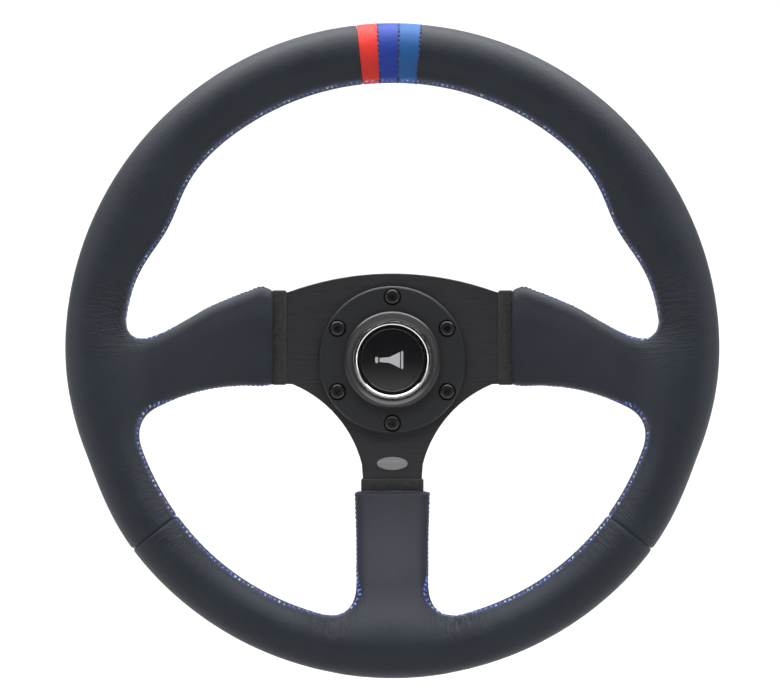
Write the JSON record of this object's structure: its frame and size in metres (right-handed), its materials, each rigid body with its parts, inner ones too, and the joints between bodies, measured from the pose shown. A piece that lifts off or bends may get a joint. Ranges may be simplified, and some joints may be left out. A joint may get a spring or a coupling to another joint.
{
  "type": "quick release steering wheel",
  "caption": "Dished three-spoke sport steering wheel with leather grip and horn button, on a splined ball-lock quick release hub.",
  "frame": {"origin": "centre of the column hub's rear face, on the hub axis", "axes": "+Y points from the driver into the steering column, +Z to 12 o'clock, +X to the driver's right"},
  "size_m": [0.35, 0.1076, 0.35],
  "materials": {
    "hub_metal": "black anodised, satin",
    "collar_metal": "black anodised, turned",
    "steel": "bright steel",
    "screw_black": "black oxide",
    "brass": "plain",
    "insulator": "moulded",
    "plate_black": "black anodised over a fine brush",
    "ring_black": "black anodised, satin",
    "core_steel": "mill finish",
    "foam": "moulded foam",
    "leather_charcoal": "smooth grain, satin",
    "leather_red": "smooth grain, satin",
    "leather_dark_blue": "smooth grain, satin",
    "leather_light_blue": "smooth grain, satin",
    "edging": "matt band",
    "thread": "twisted thread",
    "housing_plastic": "moulded, fine satin",
    "bezel_chrome": "polished",
    "cap_gloss": "polished",
    "symbol_silver": "satin silver",
    "badge_silver": "satin"
  },
  "bodies": {
    "column": {"column_hub": "hub_metal", "column_contact": "insulator", "column_contact_ring": "brass"},
    "wheel": {"wheel_coupler": "hub_metal", "collar_spring": "steel", "collar_snap_ring": "steel", "coupler_contact_block": "insulator", "contact_pins": "brass", "spoke_plate": "plate_black", "rim_core": "core_steel", "spoke_badge": "badge_silver", "grip_foam": "foam", "left_grip_leather": "leather_charcoal", "right_grip_leather": "leather_charcoal", "lower_grip_leather": "leather_charcoal", "stripe_red": "leather_red", "stripe_dark_blue": "leather_dark_blue", "stripe_light_blue": "leather_light_blue", "seam_stitching": "thread", "left_spoke_edging": "edging", "right_spoke_edging": "edging", "lower_spoke_edging": "edging", "retaining_ring": "ring_black", "wheel_bolts": "screw_black", "horn_housing": "housing_plastic", "horn_bezel": "bezel_chrome", "horn_fixed_contact": "brass", "horn_spring": "steel", "horn_terminals": "brass"},
    "collar": {"release_collar": "collar_metal"},
    "horn_button": {"horn_cap": "cap_gloss", "horn_symbol": "symbol_silver", "horn_moving_contact": "brass"},
    "ball_1": {"lock_ball_1": "steel"},
    "ball_2": {"lock_ball_2": "steel"},
    "ball_3": {"lock_ball_3": "steel"},
    "ball_4": {"lock_ball_4": "steel"},
    "ball_5": {"lock_ball_5": "steel"},
    "ball_6": {"lock_ball_6": "steel"}
  },
  "joints": [
    {"name": "wheel_pull_off", "type": "slide", "parent": "column", "child": "wheel", "axis": [0, -1, 0], "range_m": [0, 0.06]},
    {"name": "collar_slide", "type": "slide", "parent": "wheel", "child": "collar", "axis": [0, -1, 0], "range_m": [0, 0.006], "stiffness_N_per_m": 1500, "springref_m": -0.006, "deforming": ["collar_spring"]},
    {"name": "horn_press", "type": "slide", "parent": "wheel", "child": "horn_button", "axis": [0, 1, 0], "range_m": [0, 0.002], "stiffness_N_per_m": 1500, "springref_m": -0.002, "deforming": ["horn_spring"]},
    {"name": "ball_1_slide", "type": "slide", "parent": "wheel", "child": "ball_1", "axis": [0.5, 0, 0.866], "range_m": [0, 0.0019]},
    {"name": "ball_2_slide", "type": "slide", "parent": "wheel", "child": "ball_2", "axis": [1, 0, 0], "range_m": [0, 0.0019]},
    {"name": "ball_3_slide", "type": "slide", "parent": "wheel", "child": "ball_3", "axis": [0.5, 0, -0.866], "range_m": [0, 0.0019]},
    {"name": "ball_4_slide", "type": "slide", "parent": "wheel", "child": "ball_4", "axis": [-0.5, 0, -0.866], "range_m": [0, 0.0019]},
    {"name": "ball_5_slide", "type": "slide", "parent": "wheel", "child": "ball_5", "axis": [-1, 0, 0], "range_m": [0, 0.0019]},
    {"name": "ball_6_slide", "type": "slide", "parent": "wheel", "child": "ball_6", "axis": [-0.5, 0, 0.866], "range_m": [0, 0.0019]}
  ],
  "couplings": [
    {"joint": "ball_1_slide", "follows": "collar_slide", "ratio": 0.3166},
    {"joint": "ball_2_slide", "follows": "collar_slide", "ratio": 0.3166},
    {"joint": "ball_3_slide", "follows": "collar_slide", "ratio": 0.3166},
    {"joint": "ball_4_slide", "follows": "collar_slide", "ratio": 0.3166},
    {"joint": "ball_5_slide", "follows": "collar_slide", "ratio": 0.3166},
    {"joint": "ball_6_slide", "follows": "collar_slide", "ratio": 0.3166}
  ]
}
